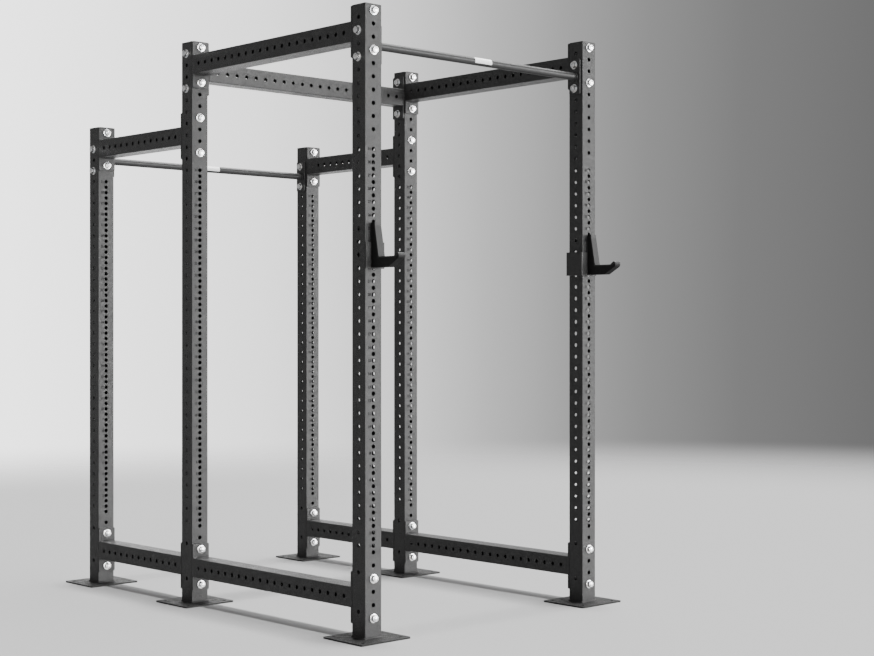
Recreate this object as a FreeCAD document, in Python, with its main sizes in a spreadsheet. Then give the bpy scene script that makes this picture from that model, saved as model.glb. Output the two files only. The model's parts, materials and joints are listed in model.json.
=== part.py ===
import FreeCAD, Part
import math
import os

import Sketcher
from FreeCAD import Placement, Rotation, Vector

# Power cage: six perforated square posts on foot plates, joined by bolted side beams, one top
# crossmember and two pull-up bars, with a lift-off J-cup on each front post.
# Frame: +X to the right, +Y from the front posts to the rear ones, +Z up, floor at Z = 0.

doc = FreeCAD.newDocument("power_cage")

# ---------------------------------------------------------------- driving dimensions
DIMENSIONS = [
    # square tube and its holes
    ("tube", 80, "outside of the square tube"),
    ("wall", 3, "tube wall"),
    ("corner", 3.5, "outer corner radius of the tube"),
    ("pitch", 50, "hole pitch"),
    ("hole", 17, "hole diameter for a 16 mm bolt or pin"),
    # layout
    ("span", 1180, "left to right, post centre to post centre"),
    ("bay_front", 1180, "front posts to middle posts, centre to centre"),
    ("bay_rear", 780, "middle posts to rear posts, centre to centre"),
    ("tall", 2400, "length of the front and middle posts"),
    ("short", 2100, "length of the rear posts"),
    # rows of holes, heights above the foot plate
    ("face_first", 75, "first hole of the front and rear faces"),
    ("face_count", 36, "holes below the blank place"),
    ("upper_first", 1925, "first hole above the blank place"),
    ("upper_count_tall", 10, "holes above the blank place, tall post"),
    ("upper_count_short", 4, "holes above the blank place, short post"),
    ("half_first", 350, "first hole of the half-pitch series"),
    ("half_count", 31, "holes in the half-pitch series"),
    ("side_low", 100, "lowest hole of the side faces"),
    ("side_second", 250, "second hole of the side faces"),
    ("side_first", 350, "first hole of the side row"),
    ("side_count_tall", 41, "holes in the side row, tall post"),
    ("side_count_short", 34, "holes in the side row, short post"),
    # foot plates and caps
    ("foot", 240, "side of the foot plate"),
    ("foot_thick", 6, "foot plate thickness"),
    ("foot_corner", 10, "foot plate corner radius"),
    ("anchor", 14, "anchor hole diameter"),
    ("anchor_spacing", 180, "anchor hole spacing"),
    ("cap_skirt", 12, "depth of the post cap's skirt, which ends above the top bolts"),
    ("cap_wall", 2.5, "thickness of the post cap"),
    ("cap_gap", 0.2, "gap between the cap and the tube"),
    ("cap_bend", 0.5, "inner corner radius of the cap's skirt"),
    # beams
    ("plate", 8, "end plate thickness"),
    ("plate_tall", 200, "end plate height"),
    ("plate_corner", 6, "end plate corner radius"),
    ("plate_holes", 150, "bolt spacing in a beam's end plate"),
    ("beam_top_front", 2300, "height of the front bay's top beams"),
    ("beam_top_rear", 2000, "height of the rear bay's top beams"),
    ("beam_bottom", 150, "height of the bottom beams"),
    ("beam_count_front", 21, "holes along a front bay beam"),
    ("beam_count_rear", 13, "holes along a rear bay beam"),
    ("cross_height", 2275, "height of the top crossmember"),
    ("cross_count", 21, "holes along the crossmember"),
    ("cross_plate_wide", 76, "width of the crossmember's end plates"),
    # pull-up bars
    ("bar_diameter", 32, "pull-up bar diameter"),
    ("bar_wall", 4, "pull-up bar wall"),
    ("bar_plate_wide", 62, "bar end plate width"),
    ("bar_plate_tall", 150, "bar end plate height"),
    ("bar_holes", 100, "bolt spacing in a bar's end plate"),
    ("bar_height_front", 2250, "height of the front pull-up bar"),
    ("bar_height_rear", 1950, "height of the rear pull-up bar"),
    # fasteners
    ("shank", 16, "bolt diameter"),
    ("hex", 24, "across the flats of head and nut"),
    ("hex_flat", 23, "diameter of the flat left inside the bevel of head and nut"),
    ("head", 10, "bolt head height"),
    ("nut", 13, "nut height"),
    ("washer", 36, "washer diameter"),
    ("washer_thick", 3, "washer thickness"),
    ("thread_end", 2, "thread standing past the nut"),
    ("bore_gap", 0.3, "radial gap of nut and washer on the bolt"),
    # J-cups: reach is forward of the post face, height is above the foot plate
    ("cup_gap", 0.4, "gap between the J-cup and the post"),
    ("cup_width", 31, "width of the hook"),
    ("cup_steel", 6, "thickness of the bracket steel"),
    ("cup_liner", 5, "thickness of the plastic liners"),
    ("cup_bottom", 1401, "underside of the arm"),
    ("cup_arm", 1442, "top of the arm"),
    ("cup_top", 1572, "top of the hook"),
    ("cup_shoulder", 1560, "where the sloping face begins"),
    ("cup_reach_top", 28, "reach at the top of the sloping face"),
    ("cup_reach_arm", 50, "reach where the sloping face meets the arm"),
    ("cup_bend_under", 106, "reach where the underside turns up"),
    ("cup_bend_over", 139, "reach where the arm's top turns up"),
    ("cup_reach", 168, "reach of the lip"),
    ("cup_lip_low", 1434, "lower corner of the lip"),
    ("cup_lip_high", 1463, "upper corner of the lip"),
    ("cup_lip_split", 1445, "where the liner meets the steel at the lip's end"),
    ("cup_round_low", 12, "rounding of the lip's lower corner"),
    ("cup_round_high", 9, "rounding of the lip's upper corner"),
    ("cup_spine_drop", 7, "how far the bracket's spine stops below the hook's top"),
    ("cup_tall", 100, "height of the bracket"),
    ("cup_wing", 85, "how far the wing reaches behind the post face"),
    ("cup_base", 1398, "underside of the bracket"),
    ("cup_pin", 16, "J-cup pin diameter"),
    ("cup_pin_reach", 95, "how far the pins reach behind the post face"),
    ("cup_pin_low", 1450, "height of the lower pin"),
    ("cup_pin_high", 1550, "height of the upper pin"),
]

sheet = doc.addObject("Spreadsheet::Sheet", "Dims")
for number, (alias, value, meaning) in enumerate(DIMENSIONS, start=1):
    sheet.set("A%d" % number, meaning)
    sheet.set("B%d" % number, str(value))
    sheet.setAlias("B%d" % number, alias)
doc.recompute()


def size(alias):
    """A driving dimension, read from the sheet."""
    return float(sheet.get(alias))


def worth(expression):
    """The present value of an expression over the sheet."""
    return float(sheet.evalExpression(expression.replace("Dims.", "")))


subparts = []


# ---------------------------------------------------------------- drawing helpers
def place(item, x="0", y="0", z="0", turn=Rotation()):
    """Put an object at a point given by three expressions, turned as asked."""
    item.Placement = Placement(Vector(worth(x), worth(y), worth(z)), turn)
    item.setExpression("Placement.Base.x", x)
    item.setExpression("Placement.Base.y", y)
    item.setExpression("Placement.Base.z", z)


def new_body(label):
    body = doc.addObject("PartDesign::Body", label)
    body.Label = label
    subparts.append(body)
    return body


def origin_feature(body, role):
    for feature in body.Origin.OriginFeatures:
        if feature.Role == role:
            return feature
    raise ValueError(role)


def new_sketch(body, role, name):
    sketch = body.newObject("Sketcher::SketchObject", name)
    sketch.AttachmentSupport = (origin_feature(body, role), [""])
    sketch.MapMode = "FlatFace"
    return sketch


def bind(sketch, constraint, expression):
    """Add a dimension to a sketch and tie it to the sheet."""
    index = sketch.addConstraint(constraint)
    sketch.setExpression("Constraints[%d]" % index, expression)


def rounded_rectangle(sketch, wide, tall, radius):
    """A rectangle with round corners, centred on the sketch's origin."""
    across = worth(wide) / 2
    up = worth(tall) / 2
    bend = worth(radius)
    flat = Vector(0, 0, 1)
    first = sketch.GeometryCount
    corners = [(1, 1, 0), (-1, 1, 90), (-1, -1, 180), (1, -1, 270)]
    for side_x, side_y, start in corners:
        centre = Vector(side_x * (across - bend), side_y * (up - bend), 0)
        circle = Part.Circle(centre, flat, bend)
        turn = math.radians(start)
        sketch.addGeometry(Part.ArcOfCircle(circle, turn, turn + math.pi / 2))
    for number in range(4):
        start = sketch.getPoint(first + number, 2)
        end = sketch.getPoint(first + (number + 1) % 4, 1)
        sketch.addGeometry(Part.LineSegment(start, end))
    for number in range(4):
        line = first + 4 + number
        sketch.addConstraint(Sketcher.Constraint("Tangent", first + number, 2, line, 1))
        following = first + (number + 1) % 4
        sketch.addConstraint(Sketcher.Constraint("Tangent", line, 2, following, 1))
    for number, way in enumerate(["Horizontal", "Vertical", "Horizontal", "Vertical"]):
        sketch.addConstraint(Sketcher.Constraint(way, first + 4 + number))
    for number in (1, 2, 3):
        sketch.addConstraint(Sketcher.Constraint("Equal", first, first + number))
    sketch.addConstraint(Sketcher.Constraint("Symmetric", first, 3, first + 2, 3, -1, 1))
    bind(sketch, Sketcher.Constraint("Radius", first, bend), radius)
    bind(sketch, Sketcher.Constraint("DistanceX", first + 1, 3, first, 3, 2 * (across - bend)),
         "%s - 2 * (%s)" % (wide, radius))
    bind(sketch, Sketcher.Constraint("DistanceY", first + 3, 3, first, 3, 2 * (up - bend)),
         "%s - 2 * (%s)" % (tall, radius))


def circle_at(sketch, x, y, diameter):
    """A circle whose centre and diameter follow the sheet."""
    centre = Vector(worth(x), worth(y), 0)
    index = sketch.addGeometry(Part.Circle(centre, Vector(0, 0, 1), worth(diameter) / 2))
    bind(sketch, Sketcher.Constraint("Diameter", index, worth(diameter)), diameter)
    for way, where, axis in (("DistanceX", x, -2), ("DistanceY", y, -1)):
        if worth(where) == 0:
            sketch.addConstraint(Sketcher.Constraint("PointOnObject", index, 3, axis))
        else:
            bind(sketch, Sketcher.Constraint(way, -1, 1, index, 3, worth(where)), where)


def outline(sketch, points):
    """A closed outline of straight lines through points given as pairs of expressions."""
    places = [Vector(worth(x), worth(y), 0) for x, y in points]
    for number, start in enumerate(places):
        end = places[(number + 1) % len(places)]
        sketch.addGeometry(Part.LineSegment(start, end))
    for number, (x, y) in enumerate(points):
        previous = (number - 1) % len(points)
        sketch.addConstraint(Sketcher.Constraint("Coincident", previous, 2, number, 1))
        bind(sketch, Sketcher.Constraint("DistanceX", -1, 1, number, 1, worth(x)), x)
        bind(sketch, Sketcher.Constraint("DistanceY", -1, 1, number, 1, worth(y)), y)


def pad(body, sketch, length, name="Pad"):
    feature = body.newObject("PartDesign::Pad", name)
    feature.Profile = sketch
    feature.setExpression("Length", length)
    sketch.Visibility = False
    return feature


def hole_row(body, role, name, first, count=None):
    """Through holes up a tube: one, or a row of count at the hole pitch."""
    sketch = new_sketch(body, role, name + "_sketch")
    circle_at(sketch, "0", first, "Dims.hole")
    pocket = body.newObject("PartDesign::Pocket", name)
    pocket.Profile = sketch
    pocket.Type = "ThroughAll"
    pocket.SideType = "Symmetric"
    sketch.Visibility = False
    if count is None:
        return
    row = body.newObject("PartDesign::LinearPattern", name + "_row")
    row.Originals = [pocket]
    row.Direction = (origin_feature(body, "Z_Axis"), [""])
    row.setExpression("Length", "Dims.pitch * (%s - 1)" % count)
    row.setExpression("Occurrences", count)
    body.Tip = row


def tube_body(label, length, rows):
    """A perforated square tube standing on its own XY plane."""
    body = new_body(label)
    section = new_sketch(body, "XY_Plane", "Section")
    rounded_rectangle(section, "Dims.tube", "Dims.tube", "Dims.corner")
    rounded_rectangle(section, "(Dims.tube - 2 * Dims.wall)", "(Dims.tube - 2 * Dims.wall)",
                      "(Dims.corner - Dims.wall)")
    pad(body, section, length)
    for number, (role, first, count) in enumerate(rows, start=1):
        hole_row(body, role, "Holes_%d" % number, first, count)
    return body


def plate_pair(label, wide, tall, spacing, apart):
    """Two bolted end plates, the outer faces `apart` from each other."""
    body = new_body(label)
    sketch = new_sketch(body, "XY_Plane", "Plate_outline")
    rounded_rectangle(sketch, wide, tall, "Dims.plate_corner")
    circle_at(sketch, "0", "%s / 2" % spacing, "Dims.hole")
    circle_at(sketch, "0", "-%s / 2" % spacing, "Dims.hole")
    first = pad(body, sketch, "Dims.plate", "Plate")
    pair = body.newObject("PartDesign::LinearPattern", "Both_ends")
    pair.Originals = [first]
    pair.Direction = (origin_feature(body, "Z_Axis"), [""])
    pair.setExpression("Length", "%s - Dims.plate" % apart)
    pair.Occurrences = 2
    body.Tip = pair
    return body


# ---------------------------------------------------------------- layout
# The object's box runs from the J-cup lips in front to the rear foot plates, and the origin is
# at the middle of its floor.
BOTH_BAYS = "(Dims.bay_front + Dims.bay_rear)"
POST_FRONT = "(-(%s + Dims.foot / 2 - Dims.tube / 2 - Dims.cup_reach) / 2)" % BOTH_BAYS
POST_MIDDLE = "(%s + Dims.bay_front)" % POST_FRONT
POST_REAR = "(%s + Dims.bay_rear)" % POST_MIDDLE
HALF_TUBE = "Dims.tube / 2"
SIDES = [("left", -1), ("right", 1)]
ROWS = [("front", POST_FRONT, "tall"), ("middle", POST_MIDDLE, "tall"), ("rear", POST_REAR, "short")]
FACE_FRONT = "(%s - %s)" % (POST_FRONT, HALF_TUBE)

# What is drawn along Z is laid along Y or X. A plate laid along X keeps its local Y upright.
ALONG_Y = Rotation(Vector(1, 0, 0), -90)
ALONG_X = Rotation(Vector(0, 1, 0), 90)
PLATE_ALONG_X = Rotation(Vector(1, 1, 1), 120)


def post_x(sign):
    return "%d * Dims.span / 2" % sign


def post_rows(kind):
    """Every row of holes in a post: front and rear faces, then side faces."""
    return [
        ("XZ_Plane", "Dims.face_first", "Dims.face_count"),
        ("XZ_Plane", "Dims.upper_first", "Dims.upper_count_" + kind),
        ("XZ_Plane", "Dims.half_first", "Dims.half_count"),
        ("YZ_Plane", "Dims.side_low", None),
        ("YZ_Plane", "Dims.side_second", None),
        ("YZ_Plane", "Dims.side_first", "Dims.side_count_" + kind),
    ]


# ---------------------------------------------------------------- posts, foot plates, caps
def foot_plate(label):
    body = new_body(label)
    sketch = new_sketch(body, "XY_Plane", "Plate_outline")
    rounded_rectangle(sketch, "Dims.foot", "Dims.foot", "Dims.foot_corner")
    for way_x in ("", "-"):
        for way_y in ("", "-"):
            circle_at(sketch, way_x + "Dims.anchor_spacing / 2", way_y + "Dims.anchor_spacing / 2",
                      "Dims.anchor")
    pad(body, sketch, "Dims.foot_thick")
    return body


def post_cap(label):
    """A plastic plug, flush with the tube's end: a lid with a skirt that grips the wall."""
    body = new_body(label)
    width = "(Dims.tube - 2 * Dims.wall - 2 * Dims.cap_gap)"
    lid = new_sketch(body, "XY_Plane", "Lid")
    rounded_rectangle(lid, width, width, "(Dims.corner - Dims.wall)")
    pad(body, lid, "Dims.cap_wall", "Lid_pad")
    skirt = new_sketch(body, "XY_Plane", "Skirt")
    rounded_rectangle(skirt, width, width, "(Dims.corner - Dims.wall)")
    inner = "(Dims.tube - 2 * Dims.wall - 2 * Dims.cap_gap - 2 * Dims.cap_wall)"
    rounded_rectangle(skirt, inner, inner, "Dims.cap_bend")
    skirt_pad = pad(body, skirt, "Dims.cap_skirt", "Skirt_pad")
    skirt_pad.Reversed = True
    return body


for row_name, row_y, kind in ROWS:
    for side, sign in SIDES:
        name = "%s_%s" % (row_name, side)
        length = "Dims." + kind
        post = tube_body("post_" + name, length, post_rows(kind))
        place(post, post_x(sign), row_y, "Dims.foot_thick")
        foot = foot_plate("foot_plate_" + name)
        place(foot, post_x(sign), row_y, "0")
        cap = post_cap("post_cap_" + name)
        place(cap, post_x(sign), row_y, "Dims.foot_thick + %s - Dims.cap_wall" % length)

# ---------------------------------------------------------------- side beams
BAYS = [("front", POST_FRONT, "Dims.bay_front"), ("rear", POST_MIDDLE, "Dims.bay_rear")]
for side, sign in SIDES:
    for bay, start, depth in BAYS:
        gap = "(%s - Dims.tube)" % depth
        tube_length = "(%s - 2 * Dims.plate)" % gap
        count = "Dims.beam_count_" + bay
        first = "(%s - (%s - 1) * Dims.pitch) / 2" % (tube_length, count)
        for level, height in (("top", "Dims.beam_top_" + bay), ("bottom", "Dims.beam_bottom")):
            name = "%s_%s_%s" % (level, bay, side)
            rise = "Dims.foot_thick + " + height
            beam = tube_body("beam_" + name, tube_length, [("YZ_Plane", first, count)])
            place(beam, post_x(sign), "%s + %s + Dims.plate" % (start, HALF_TUBE), rise, ALONG_Y)
            ends = plate_pair("end_plates_" + name, "Dims.tube", "Dims.plate_tall",
                              "Dims.plate_holes", gap)
            place(ends, post_x(sign), "%s + %s" % (start, HALF_TUBE), rise, ALONG_Y)

# ---------------------------------------------------------------- top crossmember
CLEAR_SPAN = "(Dims.span - Dims.tube)"
cross_length = "(%s - 2 * Dims.plate)" % CLEAR_SPAN
cross_first = "(%s - (Dims.cross_count - 1) * Dims.pitch) / 2" % cross_length
cross = tube_body("crossmember", cross_length, [("XZ_Plane", cross_first, "Dims.cross_count")])
place(cross, "-%s / 2" % cross_length, POST_MIDDLE, "Dims.foot_thick + Dims.cross_height", ALONG_X)
cross_ends = plate_pair("end_plates_crossmember", "Dims.cross_plate_wide", "Dims.plate_tall",
                        "Dims.plate_holes", CLEAR_SPAN)
place(cross_ends, "-%s / 2" % CLEAR_SPAN, POST_MIDDLE, "Dims.foot_thick + Dims.cross_height",
      PLATE_ALONG_X)

# ---------------------------------------------------------------- pull-up bars
for end, bar_y in (("front", POST_FRONT), ("rear", POST_REAR)):
    rise = "Dims.foot_thick + Dims.bar_height_" + end
    bar = new_body("pull_up_bar_" + end)
    ring = new_sketch(bar, "XY_Plane", "Ring")
    circle_at(ring, "0", "0", "Dims.bar_diameter")
    circle_at(ring, "0", "0", "(Dims.bar_diameter - 2 * Dims.bar_wall)")
    pad(bar, ring, cross_length)
    place(bar, "-%s / 2" % cross_length, bar_y, rise, ALONG_X)
    bar_ends = plate_pair("end_plates_bar_" + end, "Dims.bar_plate_wide", "Dims.bar_plate_tall",
                          "Dims.bar_holes", CLEAR_SPAN)
    place(bar_ends, "-%s / 2" % CLEAR_SPAN, bar_y, rise, PLATE_ALONG_X)


# ---------------------------------------------------------------- fasteners
def hexagon(name, height):
    """A hexagonal block with its outer rim bevelled, standing on the XY plane."""
    prism = doc.addObject("Part::Prism", name + "_prism")
    prism.Polygon = 6
    prism.setExpression("Circumradius", "Dims.hex / sqrt(3)")
    prism.setExpression("Height", height)
    bevel = doc.addObject("Part::Cone", name + "_bevel")
    bevel.setExpression("Radius1", "Dims.hex_flat / 2 + %s * sqrt(3)" % height)
    bevel.setExpression("Radius2", "Dims.hex_flat / 2")
    bevel.setExpression("Height", height)
    block = doc.addObject("Part::Common", name + "_block")
    block.Base = prism
    block.Tool = bevel
    return block


def cylinder(name, diameter, height):
    item = doc.addObject("Part::Cylinder", name)
    item.setExpression("Radius", "%s / 2" % diameter)
    item.setExpression("Height", height)
    return item


def bored(name, block, height):
    """Cut the bolt's running bore through a block."""
    cut = doc.addObject("Part::Cut", name)
    cut.Base = block
    cut.Tool = cylinder(name + "_bore", "(Dims.shank + 2 * Dims.bore_gap)", height)
    return cut


def hex_bolt(name, grip):
    """Head above the XY plane, shank below it, long enough for its grip, two washers and a nut."""
    length = "(%s + 2 * Dims.washer_thick + Dims.nut + Dims.thread_end)" % grip
    shank = cylinder(name + "_shank", "Dims.shank", length)
    place(shank, "0", "0", "-" + length)
    bolt = doc.addObject("Part::Fuse", name)
    bolt.Base = hexagon(name + "_head", "Dims.head")
    bolt.Tool = shank
    return bolt


SINGLE_GRIP = "(Dims.tube + Dims.plate)"
DOUBLE_GRIP = "(Dims.tube + 2 * Dims.plate)"
bolt_short = hex_bolt("hex_bolt", SINGLE_GRIP)
bolt_long = hex_bolt("hex_bolt_long", DOUBLE_GRIP)
hex_nut = bored("hex_nut", hexagon("hex_nut", "Dims.nut"), "Dims.nut")
flat_washer = bored("flat_washer", cylinder("flat_washer_disc", "Dims.washer", "Dims.washer_thick"),
                    "Dims.washer_thick")
doc.recompute()


def fastener_group(label, pieces):
    """One node of identical fasteners, each a separate solid at its own place."""
    group = doc.addObject("Part::Feature", label)
    group.Label = label
    solids = []
    for master, where in pieces:
        copy = master.Shape.copy()
        copy.Placement = where.multiply(copy.Placement)
        solids.append(copy)
    group.Shape = Part.makeCompound(solids)
    group.Placement = Placement()
    subparts.append(group)


def joint_places(sign):
    """Every bolted joint of one side: seat of the outer washer, outward way, and plate count."""
    half = size("tube") / 2
    plate = size("plate")
    x = sign * size("span") / 2
    front = worth(POST_FRONT)
    middle = worth(POST_MIDDLE)
    rear = worth(POST_REAR)
    forward = Vector(0, -1, 0)
    outward = Vector(sign, 0, 0)
    half_bolts = size("plate_holes") / 2
    bar_bolts = size("bar_holes") / 2
    for offset in (-half_bolts, half_bolts):
        top_front = size("beam_top_front") + offset
        top_rear = size("beam_top_rear") + offset
        bottom = size("beam_bottom") + offset
        yield Vector(x, front - half, top_front), forward, 1
        yield Vector(x, middle - half - plate, top_front), forward, 1
        yield Vector(x, middle - half, top_rear), forward, 1
        yield Vector(x, rear - half - plate, top_rear), forward, 1
        yield Vector(x, front - half, bottom), forward, 1
        yield Vector(x, middle - half - plate, bottom), forward, 2
        yield Vector(x, rear - half - plate, bottom), forward, 1
        yield Vector(x + sign * half, middle, size("cross_height") + offset), outward, 1
    for offset in (-bar_bolts, bar_bolts):
        yield Vector(x + sign * half, front, size("bar_height_front") + offset), outward, 1
        yield Vector(x + sign * half, rear, size("bar_height_rear") + offset), outward, 1


for side, sign in SIDES:
    bolts = []
    nuts = []
    washers = []
    for seat, direction, plates in joint_places(sign):
        seat.z += size("foot_thick")
        turn = Rotation(Vector(0, 0, 1), direction)
        back = turn.multiply(Rotation(Vector(1, 0, 0), 180))
        washer = size("washer_thick")
        grip = size("tube") + plates * size("plate")
        far = seat - direction * grip
        bolts.append((bolt_long if plates == 2 else bolt_short,
                      Placement(far - direction * washer, back)))
        washers.append((flat_washer, Placement(seat, turn)))
        washers.append((flat_washer, Placement(far, back)))
        nuts.append((hex_nut, Placement(seat + direction * washer, turn)))
    fastener_group("bolts_" + side, bolts)
    fastener_group("nuts_" + side, nuts)
    fastener_group("washers_" + side, washers)


# ---------------------------------------------------------------- J-cups
def box(name, long_x, long_y, long_z, x, y, z):
    item = doc.addObject("Part::Box", name)
    item.setExpression("Length", long_x)
    item.setExpression("Width", long_y)
    item.setExpression("Height", long_z)
    place(item, x, y, z)
    return item


def round_edges(item, name, radius, wanted):
    """Fillet the straight edges of an object whose middle points satisfy `wanted`."""
    doc.recompute()
    fillet = doc.addObject("Part::Fillet", name)
    fillet.Base = item
    amount = worth(radius)
    fillet.Edges = [(index, amount, amount)
                    for index, edge in enumerate(item.Shape.Edges, start=1) if wanted(edge)]
    return fillet


def hook_body(label, points, x, corner, radius):
    """A side profile (reach, height) padded to the hook's width, with one corner of the lip rounded."""
    body = new_body(label)
    sketch = new_sketch(body, "YZ_Plane", "Profile")
    outline(sketch, points)
    solid = pad(body, sketch, "Dims.cup_width")
    solid.SideType = "Symmetric"
    doc.recompute()
    spot = Vector(0, -worth(corner[0]), worth(corner[1]))
    edges = []
    for index, edge in enumerate(solid.Shape.Edges, start=1):
        if edge.CenterOfMass.distanceToPoint(spot) < 0.01:
            edges.append("Edge%d" % index)
    fillet = body.newObject("PartDesign::Fillet", "Round")
    fillet.Base = (solid, edges)
    fillet.setExpression("Radius", radius)
    body.Tip = fillet
    place(body, x, FACE_FRONT, "Dims.foot_thick")
    return body


def back_points(points):
    """Turn reach, which grows forward, into the profile's Y."""
    return [("-" + reach, height) for reach, height in points]


STEEL_FACE = "(Dims.cup_gap + Dims.cup_steel)"


def j_cup(side, sign):
    """A bent bracket, a hook, two liners and two pins; the wing is on the post's inner side."""
    prefix = "j_cup_%s_" % side
    x = post_x(sign)
    inner = -sign
    half = "(%s + Dims.cup_gap)" % HALF_TUBE
    wing_out = "(%s + Dims.cup_liner)" % half
    wing_edge = "(%s + Dims.cup_steel)" % wing_out
    low = "Dims.foot_thick + Dims.cup_base"

    # bracket: a front plate bent round the post into a wing, and a spine behind the hook
    front_left = "-" + wing_edge if inner < 0 else "-" + HALF_TUBE
    front = box(prefix + "front_plate", "%s + %s" % (HALF_TUBE, wing_edge), "Dims.cup_steel",
                "Dims.cup_tall", "%s + (%s)" % (x, front_left), "%s - %s" % (FACE_FRONT, STEEL_FACE),
                low)
    wing_left = "-" + wing_edge if inner < 0 else wing_out
    wing = box(prefix + "wing", "Dims.cup_steel", "Dims.cup_wing + " + STEEL_FACE, "Dims.cup_tall",
               "%s + (%s)" % (x, wing_left), "%s - %s" % (FACE_FRONT, STEEL_FACE), low)
    spine = box(prefix + "spine", "Dims.cup_width", "Dims.cup_steel",
                "Dims.cup_top - Dims.cup_base - Dims.cup_spine_drop", x + " - Dims.cup_width / 2",
                "%s - %s" % (FACE_FRONT, STEEL_FACE), low)
    bent = doc.addObject("Part::Fuse", prefix + "bend")
    bent.Base = front
    bent.Tool = wing
    corner_x = worth(x) + inner * worth(wing_edge)
    corner_y = worth("%s - %s" % (FACE_FRONT, STEEL_FACE))

    def is_bend(edge):
        middle = edge.CenterOfMass
        upright = edge.Length > size("cup_tall") - 1
        return upright and abs(middle.x - corner_x) < 0.01 and abs(middle.y - corner_y) < 0.01

    rounded = round_edges(bent, prefix + "rounded", "Dims.cup_steel", is_bend)
    bracket = doc.addObject("Part::Fuse", prefix + "bracket")
    bracket.Label = prefix + "bracket"
    bracket.Base = rounded
    bracket.Tool = spine
    subparts.append(bracket)

    # hook: the steel core, set back from its liner
    skin = "Dims.cup_liner"
    core = [
        (STEEL_FACE, "Dims.cup_bottom"),
        ("Dims.cup_bend_under", "Dims.cup_bottom"),
        ("Dims.cup_reach", "Dims.cup_lip_low"),
        ("Dims.cup_reach", "Dims.cup_lip_split"),
        ("Dims.cup_bend_over", "(Dims.cup_arm - %s)" % skin),
        ("(Dims.cup_reach_arm - %s)" % skin, "(Dims.cup_arm - %s)" % skin),
        ("(Dims.cup_reach_top - %s)" % skin, "Dims.cup_shoulder"),
        ("(Dims.cup_reach_top - %s)" % skin, "Dims.cup_top"),
        (STEEL_FACE, "Dims.cup_top"),
    ]
    hook_body(prefix + "hook", back_points(core), x, core[2], "Dims.cup_round_low")

    # cradle liner: one strip down the sloping face, along the arm and up the lip
    strip = [
        ("(Dims.cup_reach_top - %s)" % skin, "Dims.cup_top"),
        ("(Dims.cup_reach_top - %s)" % skin, "Dims.cup_shoulder"),
        ("(Dims.cup_reach_arm - %s)" % skin, "(Dims.cup_arm - %s)" % skin),
        ("Dims.cup_bend_over", "(Dims.cup_arm - %s)" % skin),
        ("Dims.cup_reach", "Dims.cup_lip_split"),
        ("Dims.cup_reach", "Dims.cup_lip_high"),
        ("Dims.cup_bend_over", "Dims.cup_arm"),
        ("Dims.cup_reach_arm", "Dims.cup_arm"),
        ("Dims.cup_reach_top", "Dims.cup_shoulder"),
        ("Dims.cup_reach_top", "Dims.cup_top"),
    ]
    hook_body(prefix + "cradle_liner", back_points(strip), x, strip[5], "Dims.cup_round_high")

    # wing liner: a plastic sheet between the wing and the post's side
    liner_left = "-" + wing_out if inner < 0 else half
    liner = box(prefix + "wing_liner", "Dims.cup_liner", "Dims.cup_wing - 2 * Dims.cup_gap",
                "Dims.cup_tall - 2 * Dims.cup_gap", "%s + (%s)" % (x, liner_left),
                "%s + Dims.cup_gap" % FACE_FRONT, low + " + Dims.cup_gap")
    liner.Label = prefix + "wing_liner"
    subparts.append(liner)

    # pins: two plain pins with coned tips, through both walls of the post
    pins = []
    for level in ("low", "high"):
        tip = "Dims.cup_pin / 4"
        shaft = cylinder(prefix + "pin_" + level, "Dims.cup_pin",
                         "Dims.cup_pin_reach + Dims.cup_gap - " + tip)
        cone = doc.addObject("Part::Cone", prefix + "pin_tip_" + level)
        cone.setExpression("Radius1", "Dims.cup_pin / 2")
        cone.setExpression("Radius2", "Dims.cup_pin / 4")
        cone.setExpression("Height", tip)
        height = "Dims.foot_thick + Dims.cup_pin_" + level
        place(shaft, x, "%s - Dims.cup_gap" % FACE_FRONT, height, ALONG_Y)
        place(cone, x, "%s + Dims.cup_pin_reach - %s" % (FACE_FRONT, tip), height, ALONG_Y)
        pin = doc.addObject("Part::Fuse", prefix + "pin_whole_" + level)
        pin.Base = shaft
        pin.Tool = cone
        pins.append(pin)
    pair = doc.addObject("Part::Compound", prefix + "pins")
    pair.Label = prefix + "pins"
    pair.Links = pins
    subparts.append(pair)


for side, sign in SIDES:
    j_cup(side, sign)

# ---------------------------------------------------------------- check and write
doc.recompute()
for item in doc.Objects:
    for state in ("Invalid", "Error"):
        if state in item.State:
            raise RuntimeError("%s: %s" % (item.Label, item.State))
os.makedirs("parts", exist_ok=True)
for item in subparts:
    if item.Shape.isNull() or not item.Shape.isValid() or not item.Shape.Solids:
        raise RuntimeError("no valid shape: " + item.Label)
for item in subparts:
    item.Shape.exportStep("parts/%s.step" % item.Label)
print("sub-parts:", len(subparts))
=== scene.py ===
import json
import math
from itertools import product

import bpy
import numpy as np
from mathutils import Matrix, Vector


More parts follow.
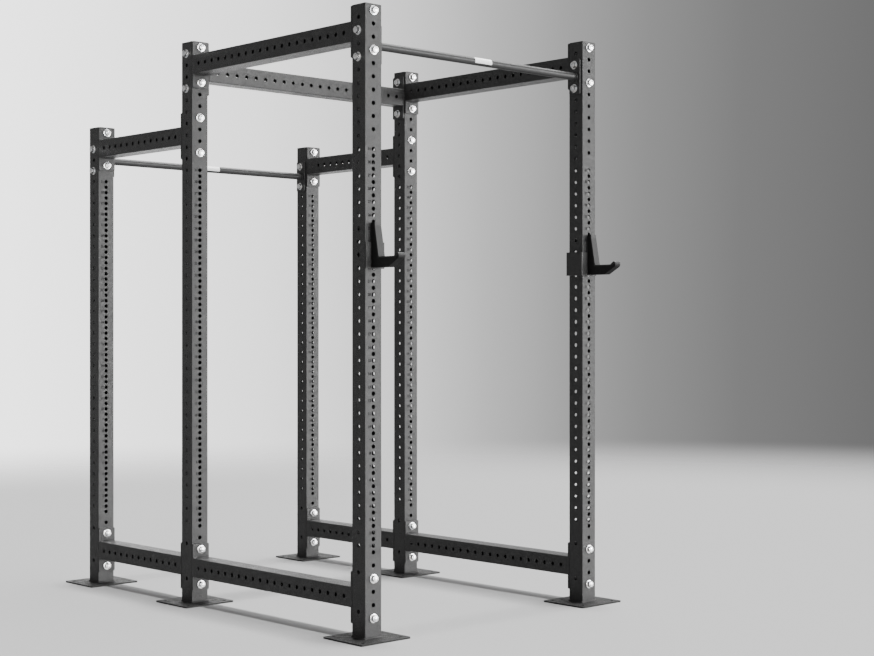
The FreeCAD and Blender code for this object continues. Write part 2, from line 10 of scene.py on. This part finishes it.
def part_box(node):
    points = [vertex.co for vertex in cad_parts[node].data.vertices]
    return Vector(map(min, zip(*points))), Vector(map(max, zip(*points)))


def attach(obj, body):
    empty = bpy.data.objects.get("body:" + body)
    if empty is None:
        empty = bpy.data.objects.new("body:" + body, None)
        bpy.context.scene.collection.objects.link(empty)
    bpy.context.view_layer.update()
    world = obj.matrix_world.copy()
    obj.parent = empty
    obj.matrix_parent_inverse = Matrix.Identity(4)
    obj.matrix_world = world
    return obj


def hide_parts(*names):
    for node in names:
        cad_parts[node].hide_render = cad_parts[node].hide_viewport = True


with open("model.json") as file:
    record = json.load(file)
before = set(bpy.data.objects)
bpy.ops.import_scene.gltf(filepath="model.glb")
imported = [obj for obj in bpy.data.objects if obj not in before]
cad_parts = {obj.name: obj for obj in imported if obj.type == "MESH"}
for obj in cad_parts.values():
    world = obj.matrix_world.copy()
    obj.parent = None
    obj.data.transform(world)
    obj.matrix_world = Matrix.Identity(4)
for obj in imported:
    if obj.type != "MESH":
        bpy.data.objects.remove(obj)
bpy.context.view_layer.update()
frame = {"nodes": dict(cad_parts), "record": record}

MM = 0.001
NODES = frame["nodes"]
SLOT_OF = {part["node"]: part["material_slot"] for part in frame["record"]["subparts"]}
X, Y, Z = Vector((1, 0, 0)), Vector((0, 1, 0)), Vector((0, 0, 1))
SIDES = ("left", "right")
ROWS = ("front", "middle", "rear")


# ------------------------------------------------------------------ materials
class Graph:
    """A small helper that adds and joins shader nodes."""

    def __init__(self, tree):
        self.tree = tree
        tree.nodes.clear()

    def node(self, kind, **values):
        made = self.tree.nodes.new("ShaderNode" + kind)
        for name, value in values.items():
            setattr(made, name, value)
        return made

    def feed(self, made, **sockets):
        """Set a node's inputs, named or numbered (i0, i1), to a constant or another node's output."""
        for name, value in sockets.items():
            key = int(name[1:]) if name[1:].isdigit() else name.replace("_", " ")
            socket = made.inputs[key]
            if isinstance(value, bpy.types.NodeSocket):
                self.tree.links.new(value, socket)
            else:
                socket.default_value = value
        return made

    def math(self, operation, first, second=0.0, clamp=False):
        made = self.node("Math", operation=operation, use_clamp=clamp)
        return self.feed(made, i0=first, i1=second).outputs[0]

    def dot(self, vector, direction):
        made = self.node("VectorMath", operation="DOT_PRODUCT")
        return self.feed(made, i0=vector, i1=direction).outputs["Value"]

    def noise(self, where, scale, detail=2.0, rough=0.5):
        made = self.node("TexNoise")
        self.feed(made, Vector=where, Scale=scale, Detail=detail, Roughness=rough)
        return made.outputs[0]

    def cells(self, where, scale):
        return self.feed(self.node("TexVoronoi"), Vector=where, Scale=scale).outputs["Distance"]

    def stretch(self, value, low, high, to_low=0.0, to_high=1.0):
        made = self.node("MapRange", interpolation_type="SMOOTHSTEP")
        names = {"From Min": low, "From Max": high, "To Min": to_low, "To Max": to_high}
        self.tree.links.new(value, made.inputs["Value"])
        for name, number in names.items():
            made.inputs[name].default_value = number
        return made.outputs["Result"]

    def blend(self, share, first, second):
        made = self.node("Mix", data_type="RGBA")
        for socket, value in ((0, share), (6, first), (7, second)):
            if isinstance(value, bpy.types.NodeSocket):
                self.tree.links.new(value, made.inputs[socket])
            else:
                made.inputs[socket].default_value = value
        return made.outputs[2]

    def ramp(self, value, stops):
        made = self.node("ValToRGB")
        self.tree.links.new(value, made.inputs[0])
        points = made.color_ramp.elements
        while len(points) < len(stops):
            points.new(0.5)
        for point, (place, tone) in zip(points, stops):
            point.position = place
            point.color = (*tone, 1)
        return made.outputs[0]

    def bump(self, height, strength, distance, under=None):
        made = self.node("Bump")
        self.feed(made, Strength=strength, Distance=distance, Height=height)
        if under is not None:
            self.tree.links.new(under, made.inputs["Normal"])
        return made.outputs[0]

    def surface(self, colour, rough, normal, metal=0.0, specular=0.5):
        made = self.node("BsdfPrincipled")
        made.inputs["Metallic"].default_value = metal
        made.inputs["Specular IOR Level"].default_value = specular
        for name, value in (("Base Color", colour), ("Roughness", rough), ("Normal", normal)):
            self.tree.links.new(value, made.inputs[name])
        end = self.node("OutputMaterial")
        self.tree.links.new(made.outputs[0], end.inputs[0])


def new_material(name):
    material = bpy.data.materials.new(name)
    material.use_nodes = True
    graph = Graph(material.node_tree)
    return material, graph, graph.node("TexCoord").outputs["Object"]


def grey(tone, warmth=0.0):
    return (tone * (1 + warmth), tone, tone * (1 - warmth), 1)


def powder_coat(name, tone, rough, speck=1.0, grain=1.0, specular=0.5):
    """Fine-texture black powder coat: orange peel, grain, pale specks, cloudy gloss and floor dust."""
    material, g, where = new_material(name)
    cloud = g.noise(where, 7.0, 4.0, 0.6)
    patch = g.noise(where, 38.0, 3.0)
    specks = g.stretch(g.noise(where, 210.0, 2.0, 0.7), 0.48, 0.66)
    grit = g.stretch(g.noise(where, 430.0, 1.0), 0.5, 0.8)
    height = g.node("SeparateXYZ")
    g.tree.links.new(where, height.inputs[0])
    low = g.stretch(height.outputs["Z"], 0.0, 0.30, 1.0, 0.0)
    dust = g.math("MULTIPLY", low, g.stretch(patch, 0.35, 0.75, 0.02, 0.20))
    colour = g.blend(g.stretch(cloud, 0.3, 0.7), grey(tone * 0.86), grey(tone * 1.14))
    colour = g.blend(g.math("MULTIPLY", specks, 0.30 * speck), colour, grey(tone * 4.2, 0.01))
    colour = g.blend(g.math("MULTIPLY", grit, 0.18 * speck), colour, grey(tone * 0.25))
    colour = g.blend(dust, colour, grey(0.03, 0.03))
    gloss = g.math("ADD", g.stretch(patch, 0.3, 0.7, rough - 0.05, rough + 0.05),
                   g.math("MULTIPLY", dust, 0.5))
    gloss = g.math("SUBTRACT", gloss, g.math("MULTIPLY", specks, 0.10 * speck))
    peel = g.bump(g.noise(where, 260.0, 3.0, 0.6), 0.35 * grain, 0.0012)
    fine = g.bump(g.cells(where, 900.0), 0.20 * grain, 0.0003, peel)
    g.surface(colour, gloss, fine, specular=specular)
    return material


def zinc_plate(name, tone, rough):
    """Bright zinc: faint yellow and blue clouding, a fine scratched grain and dull specks."""
    material, g, where = new_material(name)
    cloud = g.noise(where, 60.0, 3.0)
    fleck = g.stretch(g.noise(where, 520.0, 2.0), 0.55, 0.75)
    scratch = g.stretch(g.noise(where, 1500.0, 4.0, 0.75), 0.55, 0.8)
    colour = g.blend(g.stretch(cloud, 0.35, 0.65), grey(tone * 0.94, -0.02), grey(tone, 0.02))
    colour = g.blend(g.math("MULTIPLY", fleck, 0.25), colour, grey(tone * 0.6))
    gloss = g.math("ADD", g.stretch(cloud, 0.3, 0.7, rough - 0.05, rough + 0.06),
                   g.math("MULTIPLY", fleck, 0.12))
    marks = g.bump(scratch, 0.12, 0.0001)
    g.surface(colour, gloss, g.bump(g.noise(where, 240.0, 2.0), 0.10, 0.0002, marks), metal=1.0)
    return material


def plastic(name, tone, rough, scuff=0.2, texture=0.15, specular=0.5):
    """Moulded or sheet plastic: faint mottling, fine grain and pale scuffs."""
    material, g, where = new_material(name)
    cloud = g.noise(where, 30.0, 4.0)
    scuffs = g.stretch(g.noise(where, 160.0, 5.0, 0.8), 0.54, 0.74)
    colour = g.blend(g.stretch(cloud, 0.3, 0.7), grey(tone * 0.9), grey(tone * 1.1))
    colour = g.blend(g.math("MULTIPLY", scuffs, scuff), colour, grey(tone * 2.2 + 0.01))
    gloss = g.math("ADD", g.stretch(cloud, 0.3, 0.7, rough - 0.04, rough + 0.05),
                   g.math("MULTIPLY", scuffs, 0.08))
    g.surface(colour, gloss, g.bump(g.noise(where, 700.0, 3.0), texture, 0.0003), specular=specular)
    return material


def printed(name, tone, rough, flaw, specular=0.5):
    """Flat ink or vinyl, with worn specks."""
    material, g, where = new_material(name)
    wear = g.stretch(g.noise(where, 420.0, 4.0, 0.8), 0.6, 0.8)
    colour = g.blend(g.math("MULTIPLY", wear, 0.5), grey(tone), grey(flaw))
    gloss = g.stretch(g.noise(where, 50.0), 0.3, 0.7, rough - 0.05, rough + 0.05)
    g.surface(colour, gloss, g.bump(wear, 0.15, 0.0001), specular=specular)
    return material


COATS = {
    "frame_coat": powder_coat("frame_coat", 0.012, 0.47, speck=3.0, grain=3.5),
    "bar_coat": powder_coat("bar_coat", 0.012, 0.45, speck=0.5),
    "cup_coat": powder_coat("cup_coat", 0.005, 0.55, speck=0.4, specular=0.22),
    "zinc": zinc_plate("zinc", 0.92, 0.15),
    "pin_steel": zinc_plate("pin_steel", 0.62, 0.34),
    "liner_plastic": plastic("liner_plastic", 0.014, 0.50, specular=0.4),
    "cap_plastic": plastic("cap_plastic", 0.016, 0.42, scuff=0.3),
}
# the foot plates' coat is a darker copy of the frame coat: its lower tone is painted shade on the plates'
# tops, and it also has less gloss
PAINTED_SHADE_FOOT_COAT = powder_coat("foot_coat_painted_shade", 0.009, 0.58, speck=2.0, grain=2.0, specular=0.22)
WELD_COAT = powder_coat("weld_coat", 0.011, 0.44, speck=0.6, grain=0.5)
CUT_INK = printed("number_cut", 0.002, 0.75, 0.01, specular=0.1)
LABEL_VINYL = printed("label_vinyl", 0.80, 0.35, 0.55)


# ------------------------------------------------------------------ mesh tools
class Shell:
    """Collects grids of points into one mesh."""

    def __init__(self):
        self.points = []
        self.faces = []

    def add(self, points, faces):
        base = len(self.points)
        self.points.extend(points)
        self.faces.extend(tuple(base + i for i in face) for face in faces)

    def grid(self, rows, wrap_rows=False, wrap_columns=False):
        """Join equally long rows of points by quads."""
        count, width = len(rows), len(rows[0])
        faces = []
        for r in range(count if wrap_rows else count - 1):
            for c in range(width if wrap_columns else width - 1):
                after_r, after_c = (r + 1) % count, (c + 1) % width
                here, after = r * width, after_r * width
                faces.append((here + c, here + after_c, after + after_c, after + c))
        self.add([p for row in rows for p in row], faces)

    def piece(self, name, body, slot, material, sharp=35.0, stands_for=()):
        mesh = bpy.data.meshes.new(name)
        mesh.from_pydata([tuple(p) for p in self.points], [], self.faces)
        mesh.validate()
        mesh.shade_smooth()
        mesh.set_sharp_from_angle(angle=math.radians(sharp))
        mesh.materials.append(material)
        made = bpy.data.objects.new(name, mesh)
        bpy.context.scene.collection.objects.link(made)
        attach(made, body)
        if stands_for:
            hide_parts(*stands_for)
        return made


def islands(name):
    """The separate solids of a CAD node, each as an array of its points."""
    mesh = NODES[name].data
    points = np.array([v.co for v in mesh.vertices], float)
    keys, same = np.unique(np.round(points / (0.01 * MM)).astype(int), axis=0, return_inverse=True)
    same = same.ravel()
    parent = list(range(len(keys)))

    def root(i):
        while parent[i] != i:
            parent[i] = parent[parent[i]]
            i = parent[i]
        return i

    for edge in mesh.edges:
        a, b = root(same[edge.vertices[0]]), root(same[edge.vertices[1]])
        parent[a] = b
    groups = {}
    for number, key in enumerate(same):
        groups.setdefault(root(key), []).append(number)
    found = [points[members] for members in groups.values()]
    return sorted(found, key=lambda p: tuple(np.round(p.mean(axis=0), 4)))


def standing(origin, axis, spin=0.0):
    """A matrix whose Z is the given axis, at a point."""
    turn = Z.rotation_difference(Vector(axis)).to_matrix().to_4x4()
    return Matrix.Translation(origin) @ turn @ Matrix.Rotation(spin, 4, "Z")


def ring(radius, height, count, matrix):
    """A ring of points: radius and height are numbers or functions of the angle."""
    row = []
    for k in range(count):
        angle = 2 * math.pi * k / count
        r = radius(angle) if callable(radius) else radius
        h = height(angle) if callable(height) else height
        row.append(matrix @ Vector((r * math.cos(angle), r * math.sin(angle), h)))
    return row


# ------------------------------------------------------------------ fasteners
FLAT_HALF = 12 * MM
RIM = 11.4 * MM
STEPS = 24


def hex_radius(angle):
    return FLAT_HALF / math.cos((angle + math.pi / 6) % (math.pi / 3) - math.pi / 6)


def hex_drop(angle):
    """How far the 30 degree bevel has fallen at the hexagon's rim."""
    return (hex_radius(angle) - RIM) * math.tan(math.radians(30))


def nut_into(shell, matrix, tall):
    """A hexagon nut with both faces bevelled and a smooth, countersunk bore."""
    bore, mouth = 7.1 * MM, 8.9 * MM
    rows = [
        ring(mouth, 0, STEPS, matrix),
        ring(RIM, 0, STEPS, matrix),
        ring(hex_radius, hex_drop, STEPS, matrix),
        ring(hex_radius, lambda a: tall - hex_drop(a), STEPS, matrix),
        ring(RIM, tall, STEPS, matrix),
        ring(RIM - 0.8 * MM, tall + 0.15 * MM, STEPS, matrix),
        ring(mouth, tall + 0.15 * MM, STEPS, matrix),
        ring(bore + 0.9 * MM, tall - 0.9 * MM, STEPS, matrix),
        ring(bore + 0.9 * MM, 0.9 * MM, STEPS, matrix),
    ]
    shell.grid(rows, wrap_rows=True, wrap_columns=True)


def washer_into(shell, matrix, thick, outer):
    """A flat washer: its upper edges eased, with a slight bevel on the lower rim."""
    inner, soft = 8.5 * MM, 0.6 * MM
    profile = [
        (inner, soft), (inner, thick - soft / 2), (inner + soft / 2, thick),
        (outer - soft * 1.6, thick), (outer - soft * 0.5, thick - soft * 0.35), (outer, thick - soft),
        (outer, 0.1 * MM), (outer - 0.1 * MM, 0), (inner + soft, 0),
    ]
    shell.grid([ring(r, h, 40, matrix) for r, h in profile], wrap_rows=True, wrap_columns=True)


def bolt_into(shell, matrix, length, head):
    """A hexagon bolt: bevelled head with a washer face above the origin, threaded shank below."""
    shank, core, pitch = 8 * MM, 6.9 * MM, 2 * MM
    thread = 38 * MM
    dish = 0.4 * MM
    rows = [
        ring(0.5 * MM, head - dish, STEPS, matrix),
        ring(8.2 * MM, head - dish, STEPS, matrix),
        ring(8.9 * MM, head, STEPS, matrix),
        ring(RIM, head, STEPS, matrix),
        ring(hex_radius, lambda a: head - hex_drop(a), STEPS, matrix),
        ring(hex_radius, dish * 1.5, STEPS, matrix),
        ring(RIM, dish * 1.5, STEPS, matrix),
        ring(RIM, 0, STEPS, matrix),
        ring(shank + 0.6 * MM, 0, STEPS, matrix),
        ring(shank, -0.6 * MM, STEPS, matrix),
        ring(shank, -(length - thread), STEPS, matrix),
    ]
    turns = int(thread / pitch)
    for half in range(2 * turns - 1):
        start = length - thread + (half + 0.5) * pitch / 2

        def down(angle, start=start):
            return -min(start + pitch * angle / (2 * math.pi), length - 0.05 * MM)

        def wide(angle, crest=half % 2 == 0, down=down):
            r = shank if crest else core
            return min(r, core - 0.5 * MM + (length + down(angle)) * 1.1)

        rows.append(ring(wide, down, STEPS, matrix))
    rows.append(ring(core - 0.6 * MM, -length, STEPS, matrix))
    rows.append(ring(0.4 * MM, -length, STEPS, matrix))
    shell.grid(rows, wrap_columns=True)
    for row in (rows[0], rows[-1][::-1]):
        shell.add(row, [tuple(range(STEPS))])


def axis_of(points, pick):
    """The row axis along which a solid is longest or shortest, its middle, and its half length."""
    low, high = points.min(axis=0), points.max(axis=0)
    number = int(pick(high - low))
    way = np.zeros(3)
    way[number] = 1.0
    return way, (low + high) / 2, (high - low)[number] / 2


def outward_of(way, side):
    """The way a fastener's outer end points: forward, or out to its side."""
    sign = (-1 if side == "left" else 1) if way[0] else -1
    return way * sign


def hand_set(number, way):
    """A fastener's turn: two of its corners nearly level, give or take a few degrees."""
    level = 0.0 if way[1] else math.pi / 2
    return level + math.radians(number * 37 % 13 - 6)


for side in SIDES:
    nuts, washers, bolts = Shell(), Shell(), Shell()
    for number, solid in enumerate(islands("nuts_" + side)):
        way, middle, half = axis_of(solid, np.argmin)
        out = outward_of(way, side)
        matrix = standing(Vector(middle - out * half), out, hand_set(number, out))
        nut_into(nuts, matrix, 2 * half)
    for solid in islands("washers_" + side):
        way, middle, half = axis_of(solid, np.argmin)
        out = outward_of(way, side)
        reach = (solid.max(axis=0) - solid.min(axis=0)).max() / 2
        washer_into(washers, standing(Vector(middle - out * half), out), 2 * half, reach)
    for number, solid in enumerate(islands("bolts_" + side)):
        way, middle, half = axis_of(solid, np.argmax)
        from_axis = np.linalg.norm((solid - middle) * (1 - way), axis=1)
        sunk = (solid - middle) @ way
        rim = sunk[from_axis > 10 * MM]
        sign = 1 if rim.mean() > 0 else -1
        head = float(rim.max() - rim.min())
        seat = middle + way * sign * (half - head)
        matrix = standing(Vector(seat), way * sign, hand_set(number, way))
        bolt_into(bolts, matrix, 2 * half - head, head)
    for shell, kind in ((nuts, "nuts"), (washers, "washers"), (bolts, "bolts")):
        name = "%s_%s" % (kind, side)
        shell.piece("fine_" + name, "rack", "zinc", COATS["zinc"], stands_for=[name])


# ------------------------------------------------------------------ welds
WELD = 4.2 * MM
WELD_STEP = 0.65 * MM
WELD_INSET_BEAM, WELD_INSET_CROSS = 5 * MM, 6 * MM
POST_CORNER = 3.5 * MM
BEND_STEPS = 12
COIN, WANDER = 2.6 * MM, 17 * MM


def bead_into(shell, stations, closed):
    """A fillet weld: stations are (corner, first way, second way, size); the ripples follow the path."""
    rows = []
    for corner, first, second, wide in stations:
        rows.append([corner + (first * math.cos(a) + second * math.sin(a)) * wide
                     for a in (-0.12, 0.35, 0.79, 1.22, 1.69)])
    shell.grid(rows, wrap_rows=closed)


def ripple(distance, number):
    """Stacked-coin bead: a short saw wave with a slow wander."""
    phase = (distance / COIN) % 1.0
    return 1.0 + 0.13 * (1 - phase) + 0.06 * math.sin(distance / WANDER + number)


def straight_weld(shell, start, end, first, second, wide, number):
    """A fillet weld along a line, thinner towards its ends."""
    length = (end - start).length
    count = int(length / WELD_STEP)
    stations = []
    for k in range(count + 1):
        along = length * k / count
        taper = min(1.0, 4 * min(k, count - k) / count + 0.25)
        stations.append((start.lerp(end, k / count), first, second, wide * taper * ripple(along, number)))
    bead_into(shell, stations, False)


def square_weld(shell, middle, half, bend, wide, number):
    """A fillet weld round a post's foot."""
    stations = []
    along = 0.0
    straight = 2 * (half - bend)
    for quarter in range(4):
        turn = Matrix.Rotation(quarter * math.pi / 2, 3, "Z")
        for k in range(int(straight / WELD_STEP)):
            spot = turn @ Vector((half, -half + bend + k * WELD_STEP, 0))
            stations.append((middle + spot, turn @ X, Z, wide * ripple(along, number)))
            along += WELD_STEP
        for k in range(BEND_STEPS):
            angle = quarter * math.pi / 2 + math.pi / 2 / BEND_STEPS * k
            way = Vector((math.cos(angle), math.sin(angle), 0))
            centre = turn @ Vector((half - bend, half - bend, 0))
            stations.append((middle + centre + way * bend, way, Z, wide * ripple(along, number)))
            along += WELD_STEP
    bead_into(shell, stations, True)


def round_weld(shell, middle, axis, radius, wide, number):
    """A fillet weld round a bar's end."""
    matrix = standing(Vector((0, 0, 0)), axis).to_3x3()
    count = int(2 * math.pi * radius / WELD_STEP)
    stations = []
    for k in range(count):
        angle = 2 * math.pi * k / count
        way = matrix @ Vector((math.cos(angle), math.sin(angle), 0))
        stations.append((middle + way * radius, way, axis, wide * ripple(radius * angle, number)))
    bead_into(shell, stations, True)


welds = Shell()
for number, name in enumerate(sorted(n for n in NODES if n.startswith("beam_"))):
    low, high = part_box(name)
    for y, along in ((low.y, Y), (high.y, -Y)):
        for z, up in ((low.z, -Z), (high.z, Z)):
            start, stop = Vector((low.x + WELD_INSET_BEAM, y, z)), Vector((high.x - WELD_INSET_BEAM, y, z))
            straight_weld(welds, start, stop, up, along, WELD, number)
low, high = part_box("crossmember")
for x, along in ((low.x, X), (high.x, -X)):
    for z, up in ((low.z, -Z), (high.z, Z)):
        start, stop = Vector((x, low.y + WELD_INSET_CROSS, z)), Vector((x, high.y - WELD_INSET_CROSS, z))
        straight_weld(welds, start, stop, up, along, WELD, 3)
for number, end in enumerate(("front", "rear")):
    low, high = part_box("pull_up_bar_" + end)
    middle = (low + high) / 2
    for x, along in ((low.x, X), (high.x, -X)):
        round_weld(welds, Vector((x, middle.y, middle.z)), along, (high.z - low.z) / 2, WELD, number)
for number, (row, side) in enumerate(product(ROWS, SIDES)):
    low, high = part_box("post_%s_%s" % (row, side))
    middle = Vector(((low.x + high.x) / 2, (low.y + high.y) / 2, low.z))
    square_weld(welds, middle, (high.x - low.x) / 2, POST_CORNER, WELD, number)
welds.piece("weld_beads", "rack", "frame_coat", WELD_COAT, sharp=80.0)


# ------------------------------------------------------------------ hole numbers and bar labels
NUMBER_SIZE, NUMBER_THICK, NUMBER_BOLD = 15 * MM, 0.08 * MM, 0.55 * MM
NUMBER_COUNT = 31
FIRST_NUMBER, STEP, NUMBER_SHIFT = 350 * MM, 50 * MM, 12 * MM
LABEL_LONG, LABEL_WIDE, LABEL_THICK = 92 * MM, 26 * MM, 0.2 * MM
LABEL_FACING = math.radians(163)


def digits(text, size):
    """A thin number as points and faces, centred on its middle height and ending at x = 0."""
    curve = bpy.data.curves.new("number", "FONT")
    curve.body = text
    curve.size = size
    curve.align_x = "RIGHT"
    curve.extrude = NUMBER_THICK
    curve.offset = NUMBER_BOLD
    holder = bpy.data.objects.new("number", curve)
    mesh = bpy.data.meshes.new_from_object(holder)
    points = [v.co.copy() for v in mesh.vertices]
    faces = [tuple(p.vertices) for p in mesh.polygons]
    bpy.data.objects.remove(holder)
    bpy.data.curves.remove(curve)
    bpy.data.meshes.remove(mesh)
    middle = (max(p.y for p in points) + min(p.y for p in points)) / 2
    return [p - Vector((0, middle, 0)) for p in points], faces


NUMBERS = [digits(str(n + 1), NUMBER_SIZE) for n in range(NUMBER_COUNT)]
for row, side in product(ROWS, SIDES):
    name = "post_%s_%s" % (row, side)
    low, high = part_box(name)
    marks = Shell()
    for count, (points, faces) in enumerate(NUMBERS):
        z = low.z + FIRST_NUMBER + count * STEP
        x = (low.x + high.x) / 2 - NUMBER_SHIFT
        marks.add([Vector((x + p.x, low.y + 0.02 * MM - p.z, z + p.y)) for p in points], faces)
    marks.piece("numbers_%s_%s" % (row, side), "rack", None, CUT_INK)

for end in ("front", "rear"):
    low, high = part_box("pull_up_bar_" + end)
    middle, radius = (low + high) / 2, (high.z - low.z) / 2 + 0.15 * MM
    label = Shell()
    spread = LABEL_WIDE / radius / 2
    rows = []
    for skin in (0.0, LABEL_THICK):
        for k in range(13):
            angle = LABEL_FACING + spread * (k / 6 - 1) * (1 if skin else -1)
            edge = 1.2 * MM if k in (0, 12) else 0.0
            height = radius - 0.1 * MM + skin
            y, z = middle.y + height * math.cos(angle), middle.z + height * math.sin(angle)
            reach = LABEL_LONG / 2 - edge
            rows.append([Vector((middle.x + reach * (c / 12 - 1), y, z)) for c in range(25)])
    label.grid(rows, wrap_rows=True)
    label.piece("label_" + end, "rack", None, LABEL_VINYL)


# ------------------------------------------------------------------ CAD nodes: coats and softened edges
def soften(node, wide, steps):
    """Weld the node's split vertices, then round its edges a little."""
    join = node.modifiers.new("join", "WELD")
    join.merge_threshold = 0.005 * MM
    bevel = node.modifiers.new("soft_edges", "BEVEL")
    bevel.width = wide
    bevel.segments = steps
    bevel.limit_method = "ANGLE"
    bevel.angle_limit = math.radians(40)
    bevel.harden_normals = False


for name, node in NODES.items():
    node.data.materials.clear()
    node.data.materials.append(COATS[SLOT_OF[name]])
    # the foot plates take the darker copy of the frame coat, which paints shade on their tops
    if name.startswith("foot_plate"):
        node.data.materials[0] = PAINTED_SHADE_FOOT_COAT
    if name.startswith(("end_plates", "foot_plate")):
        soften(node, 0.7 * MM, 2)
    elif name.startswith(("j_cup", "post_cap")) and not name.endswith("pins"):
        soften(node, 0.8 * MM, 3)

# ------------------------------------------------------------------ floor, world and light
# the world's backdrop stays put when the view turns; its middle is close to the middle of the main view
BACKDROP_HEADING = math.radians(48.8)
AHEAD = Vector((math.cos(BACKDROP_HEADING), math.sin(BACKDROP_HEADING), 0))
RIGHT = Vector((math.sin(BACKDROP_HEADING), -math.cos(BACKDROP_HEADING), 0))
# brightness from left to right, by the sine of the angle from the backdrop's middle: of the backdrop, set
# after the brightness of the photograph's background, and of the studio on the other side
BACKDROP = [
    (-1.0, 0.34), (-0.6, 0.6), (-0.32, 2.6), (-0.25, 2.9), (-0.17, 2.25), (-0.11, 1.85), (-0.05, 1.30),
    (0.026, 0.70), (0.075, 0.45), (0.123, 0.315), (0.18, 0.225), (0.26, 0.175), (0.45, 0.22), (0.7, 0.9),
    (1.0, 1.4),
]
STUDIO = [(-1.0, 0.34), (-0.2, 0.50), (0.35, 0.7), (0.65, 1.4), (1.0, 1.4)]
PEAK = 3.0
ZENITH = 0.15
OVERHEAD_FROM, OVERHEAD_TO = 0.30, 0.65


def sideways(g, direction):
    """The surroundings' tone, as a share of their peak, for a direction."""
    place = g.math("MULTIPLY", g.math("ADD", g.dot(direction, RIGHT), 1.0), 0.5)
    ahead, behind = (g.ramp(place, [((u + 1) / 2, (tone / PEAK,) * 3) for u, tone in stops])
                     for stops in (BACKDROP, STUDIO))
    return g.blend(g.stretch(g.dot(direction, AHEAD), 0.1, 0.6), behind, ahead)


world = bpy.data.worlds.new("studio")
bpy.context.scene.world = world
world.use_nodes = True
g = Graph(world.node_tree)
direction = g.node("TexCoord").outputs["Generated"]
split = g.node("SeparateXYZ")
g.tree.links.new(direction, split.inputs[0])
over = g.stretch(split.outputs["Z"], OVERHEAD_FROM, OVERHEAD_TO)
tone = g.blend(over, sideways(g, direction), (ZENITH / PEAK,) * 3 + (1,))
back = g.feed(g.node("Background"), Color=tone, Strength=PEAK)
end = g.node("OutputWorld")
g.tree.links.new(back.outputs[0], end.inputs[0])

# the floor: a plain pale disc about the rack, thinning out with distance from its middle
FLOOR_TONE = 0.245
FLOOR_REACH, FADE_FROM, FADE_TO = 11.0, 5.0, 10.5
FLOOR_SIDES = 64
FLOOR_DROP = 0.2 * MM
rim = [Matrix.Rotation(2 * math.pi * k / FLOOR_SIDES, 3, "Z") @ Vector((FLOOR_REACH, 0, -FLOOR_DROP))
       for k in range(FLOOR_SIDES)]
floor_mesh = bpy.data.meshes.new("floor")
floor_mesh.from_pydata(rim, [], [tuple(range(FLOOR_SIDES))])
floor = bpy.data.objects.new("floor", floor_mesh)
bpy.context.scene.collection.objects.link(floor)
material, g, where = new_material("studio_floor")
mottle = g.stretch(g.noise(where, 90.0, 3.0), 0.3, 0.7)
pale = g.blend(mottle, grey(FLOOR_TONE * 0.98), grey(FLOOR_TONE * 1.02))
distance = g.feed(g.node("VectorMath", operation="LENGTH"), i0=where).outputs["Value"]
matt = g.feed(g.node("BsdfDiffuse"), Color=pale)
mix = g.feed(g.node("MixShader"), i0=g.stretch(distance, FADE_FROM, FADE_TO), i1=matt.outputs[0],
             i2=g.node("BsdfTransparent").outputs[0])
g.tree.links.new(mix.outputs[0], g.node("OutputMaterial").inputs[0])
floor_mesh.materials.append(material)
floor.visible_glossy = False
floor.visible_shadow = False


def studio_light(name, comes_from, width, strength):
    """A distant soft light: the direction it comes from, its width in degrees and its strength."""
    light = bpy.data.lights.new(name, "SUN")
    light.angle = math.radians(width)
    light.energy = strength
    holder = bpy.data.objects.new(name, light)
    holder.rotation_mode = "QUATERNION"
    holder.rotation_quaternion = Vector(comes_from).to_track_quat("Z", "Y")
    bpy.context.scene.collection.objects.link(holder)


studio_light("key_softbox", (0.67, -0.74, 0.07), 23, 1.65)
studio_light("front_softbox", (0.1, -1.0, 0.10), 30, 3.4)
studio_light("top_softbox", (0.05, 0.0, 1.0), 6, 8.5)
studio_light("side_softbox", (0.45, 0.05, 1.0), 46, 5.0)

# ------------------------------------------------------------------ camera
EYE = (-4.510, -5.845, 1.1774)
LOOKS_ALONG = Vector((1, 1, 0))
# the picture is a cut from a larger one: how far its middle lies from the optical centre, in picture widths
OFF_CENTRE_X, OFF_CENTRE_Y = -0.130263, 0.000549
camera = bpy.data.cameras.new("camera")
camera.sensor_width = 36.0
camera.lens = 67.69
camera.shift_x = OFF_CENTRE_X
camera.shift_y = OFF_CENTRE_Y
holder = bpy.data.objects.new("camera", camera)
holder.location = EYE
holder.rotation_mode = "QUATERNION"
holder.rotation_quaternion = LOOKS_ALONG.to_track_quat("-Z", "Y")
bpy.context.scene.collection.objects.link(holder)
bpy.context.scene.camera = holder
